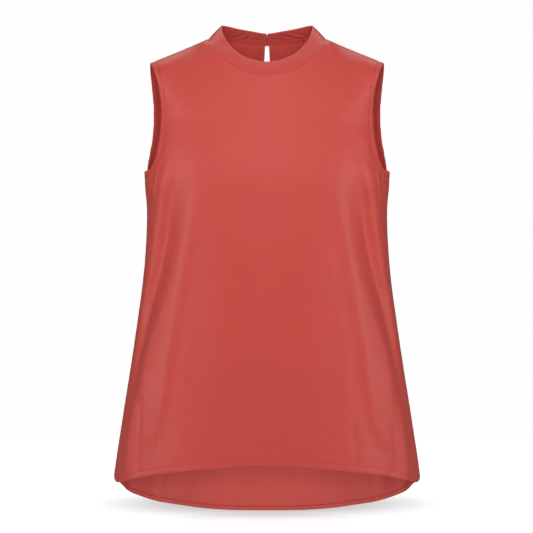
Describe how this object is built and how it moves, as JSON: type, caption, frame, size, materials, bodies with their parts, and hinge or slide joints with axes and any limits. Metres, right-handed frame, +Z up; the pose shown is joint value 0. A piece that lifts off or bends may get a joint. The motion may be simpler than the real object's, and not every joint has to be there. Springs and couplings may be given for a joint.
{
  "type": "tunic",
  "caption": "Sleeveless flared tunic with a band collar, bound armholes, a keyhole slit buttoned at the back of the neck and a hem that drops behind.",
  "frame": {"origin": "midway between the two neck points, where the collar meets the shoulder seams", "axes": "+Z up the body, the front faces -Y, and the wearer's left is +X"},
  "size_m": [0.4858, 0.2711, 0.7981],
  "materials": {
    "cloth": "matt, faintly lustrous crepe",
    "button": "satin, dyed to match"
  },
  "bodies": {
    "root": {"front_panel": "cloth", "back_panel": "cloth", "collar_band": "cloth", "armhole_binding_left": "cloth", "armhole_binding_right": "cloth", "keyhole_binding": "cloth", "button_loop": "cloth", "button": "button"}
  },
  "joints": []
}
